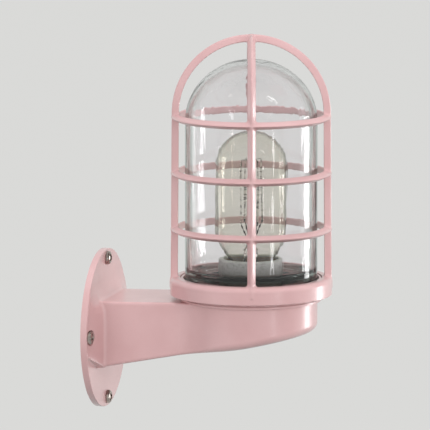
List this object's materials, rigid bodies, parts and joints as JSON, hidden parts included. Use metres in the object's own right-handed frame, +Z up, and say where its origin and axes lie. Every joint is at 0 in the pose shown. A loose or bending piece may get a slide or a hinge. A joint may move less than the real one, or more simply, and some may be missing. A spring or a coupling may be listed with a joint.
{
  "type": "guarded wall sconce",
  "caption": "Industrial wall sconce: cast round-plate bracket with a flared arm, clear domed glass jar over a tubular lamp, and a screw-on cage guard.",
  "frame": {"origin": "middle of the wall plate's back face, on the wall", "axes": "+X leaves the wall towards the lamp, +Y is to the left seen from the wall, +Z is up along the lamp"},
  "size_m": [0.1485, 0.1016, 0.2394],
  "materials": {
    "pink_coat": "satin pink powder coat on cast aluminium",
    "screw_plate": "bright zinc plated",
    "green_plate": "green passivated",
    "jar_glass": "clear pressed glass with a faint green edge",
    "gasket_rubber": "matte black-green rubber",
    "porcelain": "grey-white glaze",
    "brass": "rolled sheet brass",
    "strap_steel": "zinc plated sheet steel",
    "bulb_clear": "clear with a warm tint",
    "stem_glass": "clear",
    "black_glass": "opaque black",
    "solder": "dull tin",
    "wire": "drawn wire",
    "strand": "coiled wire",
    "black_lead": "matte insulation",
    "white_lead": "matte insulation",
    "green_lead": "matte insulation"
  },
  "bodies": {
    "bracket": {"bracket": "pink_coat", "wall_gasket": "gasket_rubber", "mounting_screws": "screw_plate", "ground_screw": "green_plate", "lampholder_body": "porcelain", "lampholder_shell": "brass", "centre_contact": "brass", "terminals": "brass", "terminal_screws": "screw_plate", "lampholder_strap": "strap_steel", "strap_screws": "screw_plate", "threaded_tube": "strap_steel", "tube_nut": "strap_steel", "line_lead": "black_lead", "neutral_lead": "white_lead", "ground_lead": "green_lead"},
    "guard": {"guard": "pink_coat"},
    "jar_gasket": {"jar_gasket": "gasket_rubber"},
    "jar": {"glass_jar": "jar_glass"},
    "lamp": {"bulb_glass": "bulb_clear", "bulb_cap": "brass", "bulb_insulator": "black_glass", "bulb_tip": "solder", "bulb_stem": "stem_glass", "filament_supports": "wire", "filament": "strand"}
  },
  "joints": [
    {"name": "guard_turn", "type": "hinge", "parent": "bracket", "child": "guard", "pos_m": [0.0977, 0, 0.03], "axis": [0, 0, 1], "range_deg": [0, 720]},
    {"name": "jar_rise", "type": "slide", "parent": "bracket", "child": "jar_gasket", "axis": [0, 0, 1], "range_m": [0, 0.00801]},
    {"name": "jar_turn", "type": "hinge", "parent": "jar_gasket", "child": "jar", "pos_m": [0.0977, 0, 0.034], "axis": [0, 0, 1], "range_deg": [0, 720]},
    {"name": "lamp_turn", "type": "hinge", "parent": "bracket", "child": "lamp", "pos_m": [0.0977, 0, 0.03], "axis": [0, 0, 1], "range_deg": [0, 1080]}
  ],
  "couplings": [
    {"joint": "jar_rise", "follows": "jar_turn", "m_per_rad": 0.00063662}
  ]
}
